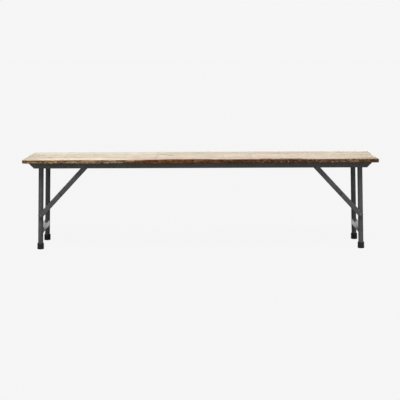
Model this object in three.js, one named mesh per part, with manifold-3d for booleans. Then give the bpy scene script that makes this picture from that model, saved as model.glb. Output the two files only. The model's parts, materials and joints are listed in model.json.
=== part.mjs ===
// A folding bench: three reclaimed boards screwed to a steel frame, on two leg frames
// that fold inwards under the seat and are held open by elbowed braces.
// Millimetres. +X runs along the seat, +Z is up and the front is towards -Y.
// The origin is on the floor, under the middle of the seat.

import * as THREE from 'three';
import { mergeVertices } from 'three/addons/utils/BufferGeometryUtils.js';
import Module from 'manifold-3d';

const wasm = await Module();
wasm.setup();

const { degToRad } = THREE.MathUtils;

// Shared fits and facet counts
const fitGap = 0.3; // between pieces that touch, or that turn on each other
const cutOverrun = 6; // how far a cut runs past the face that it opens
const tubeSteps = 24;
const pinSteps = 16;
const screwSteps = 10;
const cornerSteps = 3;

// Seat boards
const seatLength = 1600;
const seatWidth = 260;
const seatHeight = 420;
const boardThickness = 16;
const boardGap = 0.8; // open joint between two boards
const boardArris = 1.6; // worn edge, above and below
const boardCorner = 6; // rounding of a board's corners, seen from above
const boardStray = 1; // how far a sawn edge wanders inwards
const boardStrayPitch = 370; // length of one wander along an edge
const strayPointsPerPitch = 5;
const leftEndSkew = 8; // the left ends are sawn this far out of square over the seat's width
const middleBoardShort = 6; // the middle board stops this far short at the right

// Angle rails under the boards' long edges
const railHeight = 25;
const railShelf = 25; // width of the flange under the boards
const railWall = 3;
const railRootRadius = 2.5;
const railToeRadius = 1.2;
const railSideInset = 20; // from the seat's long edge to the rail's face
const railEndInset = 23.5; // from the seat's end to the rail's end
const railEndCut = degToRad(45);

// Flat cross bars between the rails
const crossBarWidth = 30;
const crossBarEndInset = 56; // from the seat's end to the middle of an end bar

// Wood screws, driven up through rails and cross bars
const screwShankRadius = 2.1;
const screwHeadRadius = 4.4;
const screwHeadDepth = 2.6;
const screwBite = 11; // length in the wood
const screwPointLength = 4;
const railScrewShares = [-0.8, -0.27, 0.27, 0.8]; // places along half the rail
const crossBarScrewSpacing = 50;

// Leg frames
const legPivotInset = 77.5; // from the seat's end to the pivot
const pivotDrop = 17; // from the boards down to the pivots
const legSplay = degToRad(2.8);
const legDiameter = 23;
const legWall = 1.6;
const stretcherSize = 25;
const stretcherWall = 2;
const stretcherCorner = 2.6;
const stretcherHeight = 88; // middle of the stretcher above the floor
const stretcherSeat = 7; // from a leg's axis to the end of the stretcher

// Rubber feet
const footHeight = 28;
const footTopRadius = 14.9;
const footBottomRadius = 15.3;
const footRimHeight = 6;
const footRimStep = 0.4;
const footSole = 5;
const footEdge = 1.5;

// Braces: an upper arm on the rail and a lower arm on the leg, which meet at an elbow
const braceRailReach = 205; // from the leg's pivot to the upper arm's pivot
const braceLegReach = 230; // from the leg's pivot to the lower arm's pivot
const armWidth = 22;
const armThickness = 4;
const armCorner = 4;
const elbowLug = 28; // the upper arm runs this far past the elbow
const stopTabLength = 14;
const stopTabThickness = 3.2;
const stopNotchNear = 4; // from the elbow to the start of the notch that takes the tab
const stopNotchFar = 6; // from the tab's end to the end of the notch

// Rivets and bushes
const pinRadius = 4;
const rivetHeadRadius = 6.6;
const rivetHeadHeight = 2.8;
const domeShares = [[1, 0], [0.86, 0.6], [0.48, 0.93], [0, 1]]; // of the head's radius and height
const flushHeadRadius = 6.2;
const flushHeadDepth = 2;
const bushRadius = 8;

// Places that follow from the sizes above
const railTop = seatHeight - boardThickness;
const railFaceY = seatWidth / 2 - railSideInset;
const railHalfLength = seatLength / 2 - railEndInset;
const railInnerY = railFaceY - railWall;
const upperArmOuterY = railInnerY - fitGap;
const upperArmInnerY = upperArmOuterY - armThickness;
const lowerArmOuterY = upperArmInnerY - fitGap;
const lowerArmInnerY = lowerArmOuterY - armThickness;
const legRadius = legDiameter / 2;
const legAxisY = lowerArmInnerY - fitGap - legRadius;
const legInnerY = legAxisY - legRadius;
const pivotX = seatLength / 2 - legPivotInset;
const pivotZ = railTop - pivotDrop;
const legDrop = pivotZ / Math.cos(legSplay);
const holeRadius = pinRadius + fitGap;
const armHalf = armWidth / 2;

// The brace's straight line, seen from the front at the right end
const railPivot = new THREE.Vector2(pivotX - braceRailReach, pivotZ);
const legPivot = new THREE.Vector2(
  pivotX + braceLegReach * Math.sin(legSplay),
  pivotZ - braceLegReach * Math.cos(legSplay),
);
const braceSpan = railPivot.distanceTo(legPivot);
const braceSlope = Math.atan2(railPivot.y - legPivot.y, legPivot.x - railPivot.x);
// The arms differ by as much as the reaches do, so that they fold flat on each other
const upperArmLength = (braceSpan - (braceLegReach - braceRailReach)) / 2;
const lowerArmLength = braceSpan - upperArmLength;

// Finishes
function finish(color, roughness, metalness) {
  return new THREE.MeshStandardMaterial({ color, roughness, metalness, flatShading: true });
}

const finishes = {
  paleWood: finish('#cdc1af', 0.85, 0),
  greyWood: finish('#c6bfb0', 0.85, 0),
  warmWood: finish('#cfbca6', 0.85, 0),
  paintedSteel: finish('#3d3e3c', 0.55, 0.4),
  darkSteel: finish('#323331', 0.5, 0.5),
  bareSteel: finish('#9a9a98', 0.45, 0.8),
  rubber: finish('#1b1b1c', 0.9, 0),
};

// A closed geometry turned into a solid that can be cut and joined
function solidOf(geometry) {
  const plain = geometry.clone();
  plain.deleteAttribute('normal');
  plain.deleteAttribute('uv');
  const welded = mergeVertices(plain);
  const corners = welded.index.array;
  const kept = [];
  for (let i = 0; i < corners.length; i += 3) {
    const [a, b, c] = corners.slice(i, i + 3);
    if (a !== b && b !== c && c !== a) {
      kept.push(a, b, c);
    }
  }
  return new wasm.Manifold(new wasm.Mesh({
    numProp: 3,
    vertProperties: new Float32Array(welded.attributes.position.array),
    triVerts: new Uint32Array(kept),
  }));
}

function geometryOf(solid) {
  const mesh = solid.getMesh();
  const geometry = new THREE.BufferGeometry();
  geometry.setAttribute('position', new THREE.BufferAttribute(mesh.vertProperties, mesh.numProp));
  geometry.setIndex(new THREE.BufferAttribute(mesh.triVerts, 1));
  geometry.computeVertexNormals();
  return geometry;
}

function cutAll(geometry, cutters) {
  let solid = solidOf(geometry);
  for (const cutter of cutters) {
    solid = solid.subtract(solidOf(cutter));
  }
  return geometryOf(solid);
}

const axisX = new THREE.Vector3(1, 0, 0);
const axisY = new THREE.Vector3(0, 1, 0);
const axisZ = new THREE.Vector3(0, 0, 1);

// A profile drawn in Y and Z, drawn out along X from -half to +half
function barAlongX(shape, half) {
  const bar = new THREE.ExtrudeGeometry(shape, {
    depth: 2 * half,
    bevelEnabled: false,
    curveSegments: cornerSteps,
  });
  bar.applyMatrix4(new THREE.Matrix4().makeBasis(axisY, axisZ, axisX));
  return bar.translate(-half, 0, 0);
}

// A shape drawn in X and Z, given its thickness along Y
function plateAlongY(shape, oneY, otherY) {
  const low = Math.min(oneY, otherY);
  const high = Math.max(oneY, otherY);
  const plate = new THREE.ExtrudeGeometry(shape, {
    depth: high - low,
    bevelEnabled: false,
    curveSegments: pinSteps / 4,
  });
  plate.applyMatrix4(new THREE.Matrix4().makeBasis(axisX, axisZ, axisY.clone().negate()));
  return plate.translate(0, high, 0);
}

function boxBetween(low, high) {
  const size = high.clone().sub(low);
  const middle = low.clone().add(high).multiplyScalar(0.5);
  return new THREE.BoxGeometry(size.x, size.y, size.z).translate(middle.x, middle.y, middle.z);
}

function pinAlongY(radius, oneY, otherY, steps = pinSteps) {
  const pin = new THREE.CylinderGeometry(radius, radius, Math.abs(otherY - oneY), steps);
  return pin.translate(0, (oneY + otherY) / 2, 0);
}

// A profile of [radius, y] pairs turned about the Y axis, listed from low y to high y
function turnedAlongY(profile, steps) {
  const points = profile.map(([radius, y]) => new THREE.Vector2(radius, y));
  return new THREE.LatheGeometry(points, steps);
}

// The same for the front or the rear: y counts outwards from the middle of the bench
function turnedOutwards(profile, side, steps = pinSteps) {
  const mirrored = profile.map(([radius, y]) => [radius, side * y]);
  return turnedAlongY(side > 0 ? mirrored : mirrored.reverse(), steps);
}

function turnedAlongZ(profile, steps) {
  return turnedAlongY(profile, steps).rotateX(Math.PI / 2);
}

function arcPoints(centreX, centreY, radius, from, to) {
  const points = [];
  for (let i = 0; i <= cornerSteps; i += 1) {
    const angle = from + (to - from) * (i / cornerSteps);
    points.push(new THREE.Vector2(centreX + radius * Math.cos(angle), centreY + radius * Math.sin(angle)));
  }
  return points;
}

// Seat boards, sawn a little unevenly and worn at every edge
function edgeStray(x, phase) {
  return boardStray * (0.5 - 0.5 * Math.cos((2 * Math.PI * x) / boardStrayPitch + phase));
}

// How far the left end stands in at a place across the seat
function leftEndAt(y) {
  return -seatLength / 2 + leftEndSkew * (y / seatWidth + 0.5);
}

function boardShape(frontY, backY, rightX, phase) {
  const points = Math.round((strayPointsPerPitch * seatLength) / boardStrayPitch);
  const frontLeft = leftEndAt(frontY);
  const backLeft = leftEndAt(backY);
  const shape = new THREE.Shape();
  shape.moveTo(frontLeft + boardCorner, frontY + edgeStray(frontLeft, phase));
  for (let i = 1; i <= points; i += 1) {
    const x = THREE.MathUtils.lerp(frontLeft + boardCorner, rightX - boardCorner, i / points);
    shape.lineTo(x, frontY + edgeStray(x, phase));
  }
  shape.quadraticCurveTo(rightX, frontY, rightX, frontY + boardCorner);
  shape.lineTo(rightX, backY - boardCorner);
  shape.quadraticCurveTo(rightX, backY, rightX - boardCorner, backY - edgeStray(rightX, phase));
  for (let i = points - 1; i >= 0; i -= 1) {
    const x = THREE.MathUtils.lerp(backLeft + boardCorner, rightX - boardCorner, i / points);
    shape.lineTo(x, backY - edgeStray(x, 2 * phase));
  }
  shape.quadraticCurveTo(backLeft, backY, backLeft, backY - boardCorner);
  shape.lineTo(frontLeft, frontY + boardCorner);
  shape.quadraticCurveTo(frontLeft, frontY, frontLeft + boardCorner, frontY + edgeStray(frontLeft, phase));
  return shape;
}

function board(frontY, backY, rightX, phase, screws) {
  const plank = new THREE.ExtrudeGeometry(boardShape(frontY, backY, rightX, phase), {
    depth: boardThickness - 2 * boardArris,
    bevelThickness: boardArris,
    bevelSize: boardArris,
    bevelOffset: -boardArris,
    bevelSegments: 1,
    curveSegments: cornerSteps,
  });
  plank.translate(0, 0, boardArris);
  const pilots = screws
    .filter(([, y]) => y > frontY && y < backY)
    .map(([x, y]) => pilotHole().translate(x, y, 0));
  return cutAll(plank, pilots);
}

function pilotHole() {
  const depth = screwBite + fitGap;
  return turnedAlongZ([
    [0, -cutOverrun],
    [screwShankRadius + fitGap, -cutOverrun],
    [screwShankRadius + fitGap, depth - screwPointLength],
    [0, depth],
  ], screwSteps);
}

// Screws and the holes that take them, from the steel's underside upwards
function screwHole() {
  const headRadius = screwHeadRadius + fitGap;
  const shankRadius = screwShankRadius + fitGap;
  return turnedAlongZ([
    [0, -cutOverrun],
    [headRadius, -cutOverrun],
    [headRadius, 0],
    [shankRadius, screwHeadDepth],
    [shankRadius, cutOverrun],
    [0, cutOverrun],
  ], screwSteps);
}

function woodScrew() {
  const tip = railWall + screwBite;
  return turnedAlongZ([
    [0, 0],
    [screwHeadRadius, 0],
    [screwShankRadius, screwHeadDepth],
    [screwShankRadius, tip - screwPointLength],
    [0, tip],
  ], screwSteps);
}

// An angle rail, sawn at a slant at both ends
function railShape(side) {
  const toe = railToeRadius;
  const root = railRootRadius;
  const profile = [
    new THREE.Vector2(0, 0),
    new THREE.Vector2(railShelf, 0),
    ...arcPoints(railShelf - toe, railWall - toe, toe, 0, Math.PI / 2),
    ...arcPoints(railWall + root, railWall + root, root, 1.5 * Math.PI, Math.PI),
    ...arcPoints(railWall - toe, railHeight - toe, toe, 0, Math.PI / 2),
    new THREE.Vector2(0, railHeight),
  ];
  return new THREE.Shape(profile.map(({ x, y }) => new THREE.Vector2(side * (railFaceY - x), railTop - y)));
}

function railEnvelope() {
  const slant = Math.tan(railEndCut);
  const above = railHalfLength + cutOverrun * slant;
  const below = railHalfLength - (railHeight + cutOverrun) * slant;
  const shape = new THREE.Shape();
  shape.moveTo(-above, railTop + cutOverrun);
  shape.lineTo(above, railTop + cutOverrun);
  shape.lineTo(below, railTop - railHeight - cutOverrun);
  shape.lineTo(-below, railTop - railHeight - cutOverrun);
  return plateAlongY(shape, -railFaceY - cutOverrun, railFaceY + cutOverrun);
}

function rail(side, screws) {
  const angle = solidOf(barAlongX(railShape(side), railHalfLength + cutOverrun));
  const sawn = geometryOf(angle.intersect(solidOf(railEnvelope())));
  const through = [side * (railInnerY - cutOverrun), side * (railFaceY + cutOverrun)];
  const pivots = [-pivotX, -railPivot.x, railPivot.x, pivotX];
  const pinHoles = pivots.map((x) => pinAlongY(holeRadius, ...through).translate(x, 0, pivotZ));
  const screwHoles = screws.map(([x, y]) => screwHole().translate(x, y, railTop - railWall));
  return cutAll(sawn, [...pinHoles, ...screwHoles]);
}

// A flat bar welded between the rails' shelves
function crossBar(middleX, screws) {
  const halfLength = railFaceY - railShelf - fitGap;
  const halfWidth = crossBarWidth / 2;
  const bar = boxBetween(
    new THREE.Vector3(middleX - halfWidth, -halfLength, railTop - railWall),
    new THREE.Vector3(middleX + halfWidth, halfLength, railTop),
  );
  return cutAll(bar, screws.map(([x, y]) => screwHole().translate(x, y, railTop - railWall)));
}

// A leg tube, rounded over at its pivot. Its own origin is the pivot and it runs down local Z.
function leg() {
  const bottom = -(legDrop - footSole - fitGap);
  const tube = solidOf(turnedAlongZ([
    [legRadius - legWall, bottom],
    [legRadius, bottom],
    [legRadius, legRadius],
    [legRadius - legWall, legRadius],
    [legRadius - legWall, bottom],
  ], tubeSteps));
  const reach = legRadius + cutOverrun;
  const roundTop = solidOf(pinAlongY(legRadius, -reach, reach, tubeSteps));
  const body = solidOf(boxBetween(
    new THREE.Vector3(-reach, -reach, bottom - cutOverrun),
    new THREE.Vector3(reach, reach, 0),
  ));
  const hole = pinAlongY(holeRadius, -reach, reach);
  return cutAll(geometryOf(tube.intersect(roundTop.add(body))), [
    hole,
    hole.clone().translate(0, 0, -braceLegReach),
  ]);
}

// A rubber foot, cut level with the floor under a leaning leg
function foot() {
  const floor = -legDrop;
  const below = floor - footBottomRadius * Math.tan(legSplay) - footEdge;
  const top = floor + footHeight;
  const rimTop = floor + footRimHeight;
  const bore = legRadius + fitGap;
  const cup = turnedAlongZ([
    [0, below],
    [footBottomRadius - footEdge, below],
    [footBottomRadius - footEdge, floor],
    [footBottomRadius, floor + footEdge],
    [footBottomRadius, rimTop - footRimStep],
    [footBottomRadius - footRimStep, rimTop],
    [footTopRadius, top - footEdge],
    [footTopRadius - footEdge / 2, top],
    [bore, top],
    [bore, floor + footSole],
    [0, floor + footSole],
  ], tubeSteps);
  const reach = footBottomRadius + cutOverrun;
  const ground = boxBetween(
    new THREE.Vector3(-reach, -reach, -pivotZ - reach),
    new THREE.Vector3(reach, reach, -pivotZ),
  );
  // The ground is level, so it leans the other way as seen from the leg
  ground.translate(legDrop * Math.sin(legSplay), 0, 0).rotateY(legSplay);
  return cutAll(cup, [ground]);
}

// A square tube between the legs, sawn hollow at its ends to sit against them
function stretcher() {
  const drop = (pivotZ - stretcherHeight) / Math.cos(legSplay);
  const outer = roundedSquare(new THREE.Shape(), stretcherSize / 2, stretcherCorner);
  const innerCorner = stretcherCorner / 2;
  outer.holes.push(roundedSquare(new THREE.Path(), stretcherSize / 2 - stretcherWall, innerCorner));
  const end = legAxisY - stretcherSeat;
  const tube = plateAlongY(outer, -end, end);
  const saddle = turnedAlongZ([
    [0, -stretcherSize],
    [legRadius + fitGap, -stretcherSize],
    [legRadius + fitGap, stretcherSize],
    [0, stretcherSize],
  ], tubeSteps);
  return cutAll(tube, [
    saddle.clone().translate(0, -legAxisY, 0),
    saddle.clone().translate(0, legAxisY, 0),
  ]).translate(0, 0, -drop);
}

function roundedSquare(path, half, corner) {
  path.moveTo(-half + corner, -half);
  path.lineTo(half - corner, -half);
  path.quadraticCurveTo(half, -half, half, -half + corner);
  path.lineTo(half, half - corner);
  path.quadraticCurveTo(half, half, half - corner, half);
  path.lineTo(-half + corner, half);
  path.quadraticCurveTo(-half, half, -half, half - corner);
  path.lineTo(-half, -half + corner);
  path.quadraticCurveTo(-half, -half, -half + corner, -half);
  return path;
}

// The upper arm's own origin is its pivot on the rail and it runs along local X.
// Past the elbow, a tab bent from its edge bears on the lower arm and stops the brace
// when it is straight.
function upperArm(side) {
  const end = upperArmLength + elbowLug;
  const shape = new THREE.Shape();
  shape.moveTo(0, -armHalf);
  shape.lineTo(end - armCorner, -armHalf);
  shape.quadraticCurveTo(end, -armHalf, end, -armHalf + armCorner);
  shape.lineTo(end, armHalf);
  shape.lineTo(0, armHalf);
  shape.absarc(0, 0, armHalf, Math.PI / 2, 1.5 * Math.PI, false);
  const plate = solidOf(plateAlongY(shape, side * upperArmInnerY, side * upperArmOuterY));
  const tabBack = side * lowerArmInnerY;
  const tabRoot = side * (upperArmInnerY + armThickness / 2);
  const tab = solidOf(boxBetween(
    new THREE.Vector3(end - stopTabLength, Math.min(tabBack, tabRoot), armHalf - stopTabThickness),
    new THREE.Vector3(end, Math.max(tabBack, tabRoot), armHalf),
  ));
  const railHole = flushHole(side, upperArmInnerY, upperArmOuterY + cutOverrun);
  const elbowHole = flushHole(side, upperArmOuterY, upperArmInnerY - fitGap);
  return cutAll(geometryOf(plate.add(tab)), [
    railHole,
    elbowHole.translate(upperArmLength, 0, 0),
  ]);
}

// A pin hole, countersunk at the face where the flush head sits
function flushHole(side, headY, farY) {
  const away = Math.sign(headY - farY);
  const profile = [
    [0, farY],
    [holeRadius, farY],
    [holeRadius, headY - away * flushHeadDepth],
    [flushHeadRadius + fitGap, headY],
    [flushHeadRadius + fitGap, headY + away * fitGap],
    [0, headY + away * fitGap],
  ];
  return turnedOutwards(away > 0 ? profile : profile.reverse(), side);
}

// The lower arm's own origin is its pivot on the leg and it runs along local X to the elbow
function lowerArm(side) {
  const shape = new THREE.Shape();
  shape.moveTo(0, -armHalf);
  shape.lineTo(lowerArmLength, -armHalf);
  shape.absarc(lowerArmLength, 0, armHalf, -Math.PI / 2, Math.PI / 2, false);
  shape.lineTo(0, armHalf);
  shape.absarc(0, 0, armHalf, Math.PI / 2, 1.5 * Math.PI, false);
  const plate = plateAlongY(shape, side * lowerArmInnerY, side * lowerArmOuterY);
  const through = [side * (lowerArmInnerY - cutOverrun), side * (lowerArmOuterY + cutOverrun)];
  const notch = boxBetween(
    new THREE.Vector3(
      lowerArmLength - elbowLug - stopNotchFar,
      Math.min(...through),
      -armHalf - cutOverrun,
    ),
    new THREE.Vector3(
      lowerArmLength - stopNotchNear,
      Math.max(...through),
      -armHalf + stopTabThickness + fitGap,
    ),
  );
  return cutAll(plate, [
    pinAlongY(holeRadius, ...through),
    pinAlongY(holeRadius, ...through).translate(lowerArmLength, 0, 0),
    notch,
  ]);
}

// A domed rivet head from its shank to its crown, as [radius, y] pairs
function domeProfile(seatY, away) {
  const dome = domeShares.map(([radiusShare, heightShare]) => [
    radiusShare * rivetHeadRadius,
    seatY + away * heightShare * rivetHeadHeight,
  ]);
  return [[pinRadius, seatY], ...dome];
}

// A rivet with a dome at both ends
function domedRivet(side, innerY, outerY) {
  return turnedOutwards([...domeProfile(innerY, -1).reverse(), ...domeProfile(outerY, 1)], side);
}

// The upper arm's rivet on the rail: a dome outside, flush inside, where the lower arm passes
function railRivet(side) {
  return turnedOutwards([
    [0, upperArmInnerY],
    [flushHeadRadius, upperArmInnerY],
    [pinRadius, upperArmInnerY + flushHeadDepth],
    ...domeProfile(railFaceY + fitGap, 1),
  ], side);
}

// The elbow's rivet, flush at both faces, where the folded brace lies against rail and leg
function elbowRivet(side) {
  return turnedOutwards([
    [0, upperArmInnerY],
    [pinRadius, upperArmInnerY],
    [pinRadius, upperArmOuterY - flushHeadDepth],
    [flushHeadRadius, upperArmOuterY],
    [0, upperArmOuterY],
  ], side);
}

// A bush that holds a leg off its rail by the thickness of the two arms
function legBush(side) {
  const innerY = legAxisY + legRadius + fitGap;
  return turnedOutwards([
    [holeRadius, innerY],
    [bushRadius, innerY],
    [bushRadius, upperArmOuterY],
    [holeRadius, upperArmOuterY],
    [holeRadius, innerY],
  ], side);
}

// The assembly
const bench = new THREE.Group();

function addPiece(parent, name, geometry, material) {
  const mesh = new THREE.Mesh(geometry, material);
  mesh.name = name;
  parent.add(mesh);
  return mesh;
}

// Screw places, by what they pass through
const railScrewY = railFaceY - railShelf / 2 - railWall / 2;
const railScrews = (side) => railScrewShares.map((share) => [share * railHalfLength, side * railScrewY]);
const crossBarScrews = (x) => [-1, 1].map((end) => [x, (end * crossBarScrewSpacing) / 2]);
const crossBarX = seatLength / 2 - crossBarEndInset;
const crossBars = [['left', -crossBarX], ['centre', 0], ['right', crossBarX]];
const screwPlaces = [
  ...railScrews(-1),
  ...railScrews(1),
  ...crossBars.flatMap(([, x]) => crossBarScrews(x)),
];

const boardNames = ['front_board', 'middle_board', 'back_board'];
const boardWoods = [finishes.warmWood, finishes.paleWood, finishes.greyWood];
const boardPitch = (seatWidth + boardGap) / boardNames.length;
boardNames.forEach((name, i) => {
  const frontY = -seatWidth / 2 + i * boardPitch;
  const backY = frontY + boardPitch - boardGap;
  const rightX = seatLength / 2 - (name === 'middle_board' ? middleBoardShort : 0);
  const mesh = addPiece(bench, name, board(frontY, backY, rightX, i + 1, screwPlaces), boardWoods[i]);
  mesh.position.z = railTop;
});

for (const [sideName, side] of [['front', -1], ['rear', 1]]) {
  addPiece(bench, `${sideName}_rail`, rail(side, railScrews(side)), finishes.paintedSteel);
  railScrews(side).forEach(([x, y], i) => {
    const screw = addPiece(bench, `${sideName}_rail_screw_${i + 1}`, woodScrew(), finishes.bareSteel);
    screw.position.set(x, y, railTop - railWall);
  });
}

for (const [barName, barX] of crossBars) {
  addPiece(bench, `${barName}_cross_bar`, crossBar(barX, crossBarScrews(barX)), finishes.paintedSteel);
  crossBarScrews(barX).forEach(([x, y], i) => {
    const screw = addPiece(bench, `${barName}_cross_bar_screw_${i + 1}`, woodScrew(), finishes.bareSteel);
    screw.position.set(x, y, railTop - railWall);
  });
}

// Each end is drawn as the right one. The left end is the same, turned half round.
for (const [endName, turn] of [['right', 0], ['left', Math.PI]]) {
  const end = new THREE.Group();
  end.rotation.z = turn;
  bench.add(end);

  const legFrame = new THREE.Group();
  legFrame.position.set(pivotX, 0, pivotZ);
  legFrame.rotation.y = -legSplay;
  end.add(legFrame);
  addPiece(legFrame, `${endName}_stretcher`, stretcher(), finishes.bareSteel);

  for (const side of [-1, 1]) {
    const isFront = (side < 0) === (turn === 0);
    const corner = `${endName}_${isFront ? 'front' : 'rear'}`;

    addPiece(legFrame, `${corner}_leg`, leg(), finishes.paintedSteel).position.y = side * legAxisY;
    addPiece(legFrame, `${corner}_foot`, foot(), finishes.rubber).position.y = side * legAxisY;
    const braceRivet = domedRivet(side, legInnerY - fitGap, lowerArmOuterY + fitGap);
    addPiece(legFrame, `${corner}_brace_rivet`, braceRivet, finishes.darkSteel).position.z = -braceLegReach;

    const legRivet = domedRivet(side, legInnerY - fitGap, railFaceY + fitGap);
    addPiece(end, `${corner}_leg_rivet`, legRivet, finishes.darkSteel).position.set(pivotX, 0, pivotZ);
    addPiece(end, `${corner}_leg_bush`, legBush(side), finishes.darkSteel).position.set(pivotX, 0, pivotZ);

    const railPin = addPiece(end, `${corner}_rail_rivet`, railRivet(side), finishes.darkSteel);
    railPin.position.set(railPivot.x, 0, railPivot.y);

    const upper = new THREE.Group();
    upper.position.set(railPivot.x, 0, railPivot.y);
    upper.rotation.y = braceSlope;
    end.add(upper);
    addPiece(upper, `${corner}_upper_brace_arm`, upperArm(side), finishes.paintedSteel);
    const elbow = addPiece(upper, `${corner}_elbow_rivet`, elbowRivet(side), finishes.darkSteel);
    elbow.position.x = upperArmLength;

    const lower = addPiece(end, `${corner}_lower_brace_arm`, lowerArm(side), finishes.paintedSteel);
    lower.position.set(legPivot.x, 0, legPivot.y);
    lower.rotation.y = braceSlope - Math.PI;
  }
}

export default bench;
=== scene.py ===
import json
import math
from functools import partial

import bmesh
import bpy
from mathutils import Matrix, Vector, noise


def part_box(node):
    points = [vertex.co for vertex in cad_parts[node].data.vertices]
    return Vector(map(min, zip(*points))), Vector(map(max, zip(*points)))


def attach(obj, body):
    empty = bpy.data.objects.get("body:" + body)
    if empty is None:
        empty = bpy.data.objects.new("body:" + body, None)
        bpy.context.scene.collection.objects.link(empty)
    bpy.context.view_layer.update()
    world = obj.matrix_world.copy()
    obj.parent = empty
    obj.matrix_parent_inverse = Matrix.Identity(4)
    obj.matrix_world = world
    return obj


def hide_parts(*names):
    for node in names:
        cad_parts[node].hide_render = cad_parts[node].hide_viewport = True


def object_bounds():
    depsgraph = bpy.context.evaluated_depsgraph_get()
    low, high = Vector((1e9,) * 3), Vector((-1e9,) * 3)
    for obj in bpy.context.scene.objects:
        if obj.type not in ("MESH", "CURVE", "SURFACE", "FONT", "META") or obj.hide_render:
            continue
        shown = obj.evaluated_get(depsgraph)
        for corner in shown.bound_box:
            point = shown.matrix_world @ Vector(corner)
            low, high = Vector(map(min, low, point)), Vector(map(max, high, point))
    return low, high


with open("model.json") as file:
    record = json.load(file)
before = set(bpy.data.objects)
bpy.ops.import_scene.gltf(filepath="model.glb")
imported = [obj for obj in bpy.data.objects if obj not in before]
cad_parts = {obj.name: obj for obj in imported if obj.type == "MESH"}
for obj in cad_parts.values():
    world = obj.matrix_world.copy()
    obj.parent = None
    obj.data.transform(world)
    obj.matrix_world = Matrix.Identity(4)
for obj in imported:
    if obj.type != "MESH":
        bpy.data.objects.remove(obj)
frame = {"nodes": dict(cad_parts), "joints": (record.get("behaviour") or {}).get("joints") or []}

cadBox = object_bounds()
mm = 0.001
scene = bpy.context.scene
ends = {"left": -1, "right": 1}
rows = {"front": -1, "rear": 1}
corners = [(end, row) for end in ends for row in rows]
# settings that many nodes share
smooth = {"interpolation_type": "SMOOTHSTEP"}
tint = {"data_type": "RGBA"}
times = {"operation": "MULTIPLY"}
timesPlus = {"operation": "MULTIPLY_ADD"}


# Small helpers
def linear(hexColour):
    channels = [int(hexColour[i:i + 2], 16) / 255 for i in (1, 3, 5)]
    return [c / 12.92 if c <= 0.04045 else ((c + 0.055) / 1.055) ** 2.4 for c in channels] + [1]


def perMetre(size):  # a texture's scale for features of that many millimetres
    return 1 / (size * mm)


def fill(tree, socket, value):  # value: a node, a socket, several nodes or a plain value
    several = isinstance(value, tuple) and isinstance(value[0], bpy.types.Node)
    for source in value if several else (value,):
        if isinstance(source, bpy.types.Node):
            source = next(output for output in source.outputs if output.enabled)
        if isinstance(source, bpy.types.NodeSocket):
            tree.links.new(source, socket)
        else:
            socket.default_value = source


def addNode(tree, kind, *values, **settings):
    # values go into the open sockets in order; a setting with a capital names a socket
    node = tree.nodes.new(kind if "Node" in kind else "ShaderNode" + kind)
    sockets = {name: settings.pop(name) for name in list(settings) if name[0].isupper()}
    for name, value in settings.items():
        setattr(node, name, value)
    for socket, value in zip([socket for socket in node.inputs if socket.enabled], values):
        fill(tree, socket, value)
    for name, value in sockets.items():
        fill(tree, node.inputs[name.replace("_", " ")], value)
    return node


def newMaterial(name):
    material = bpy.data.materials.new(name)
    material.use_nodes = True
    return material, partial(addNode, material.node_tree)


def dressed(material, **look):  # sets the shader's own sockets
    tree = material.node_tree
    for name, value in look.items():
        fill(tree, tree.nodes["Principled BSDF"].inputs[name.replace("_", " ")], value)
    return material


def layered(add, colour, layers, **settings):  # tints over a colour, each where its pattern runs high
    for pattern, low, high, strength, tone in layers:
        if low is None:
            amount = add("Math", pattern, strength, **times)
        else:
            amount = add("MapRange", pattern, low, high, 0.0, strength, **settings)
        colour = add("Mix", amount, colour, linear(tone), **tint)
    return colour


def meshFrom(points, faces, edges=()):
    mesh = bpy.data.meshes.new("draft")
    mesh.from_pydata(points, edges, faces)
    return mesh


def fromBmesh(bm):
    mesh = bpy.data.meshes.new("draft")
    bm.to_mesh(mesh)
    bm.free()
    return mesh


def asDraft(mesh):
    draft = bpy.data.objects.new("draft", mesh)
    scene.collection.objects.link(draft)
    return draft


def applied(draft):  # the draft's mesh with its modifiers made real
    graph = bpy.context.evaluated_depsgraph_get()
    mesh = bpy.data.meshes.new_from_object(draft.evaluated_get(graph))
    bpy.data.objects.remove(draft)
    return mesh


def beveled(mesh, width):
    draft = asDraft(mesh)
    bevel = draft.modifiers.new("edges", "BEVEL")
    bevel.width = width * mm
    bevel.segments = 2
    bevel.limit_method = "ANGLE"
    bevel.angle_limit = math.radians(35)
    return applied(draft)


def cutBy(mesh, cutter):
    draft = asDraft(mesh)
    tool = asDraft(cutter)
    cut = draft.modifiers.new("cut", "BOOLEAN")
    cut.object = tool
    cut.solver = "EXACT"
    result = applied(draft)
    bpy.data.objects.remove(tool)
    return result


def facedOut(mesh):
    bm = bmesh.new()
    bm.from_mesh(mesh)
    bmesh.ops.remove_doubles(bm, verts=bm.verts, dist=0.001 * mm)
    bmesh.ops.recalc_face_normals(bm, faces=bm.faces)
    bm.to_mesh(mesh)
    bm.free()
    return mesh


def ringsMesh(rings, closedLoop=False):  # quads between rings of points, all of one length
    count = len(rings[0])
    faces = []
    for i in range(len(rings) if closedLoop else len(rings) - 1):
        low, high = i * count, (i + 1) % len(rings) * count
        for k in range(count):
            n = (k + 1) % count
            faces.append((low + k, low + n, high + n, high + k))
    if not closedLoop:
        faces.append(tuple(reversed(range(count))))
        faces.append(tuple(range((len(rings) - 1) * count, len(rings) * count)))
    return meshFrom([point for ring in rings for point in ring], faces)


def arc(centreX, centreY, radius, fromDegrees, toDegrees, steps=20):
    angles = [math.radians(fromDegrees + (toDegrees - fromDegrees) * k / steps) for k in range(steps + 1)]
    return [(centreX + radius * math.cos(a), centreY + radius * math.sin(a)) for a in angles]


def circle(radius, sides):
    return arc(0, 0, radius, 0, 360, sides)[:-1]


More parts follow.
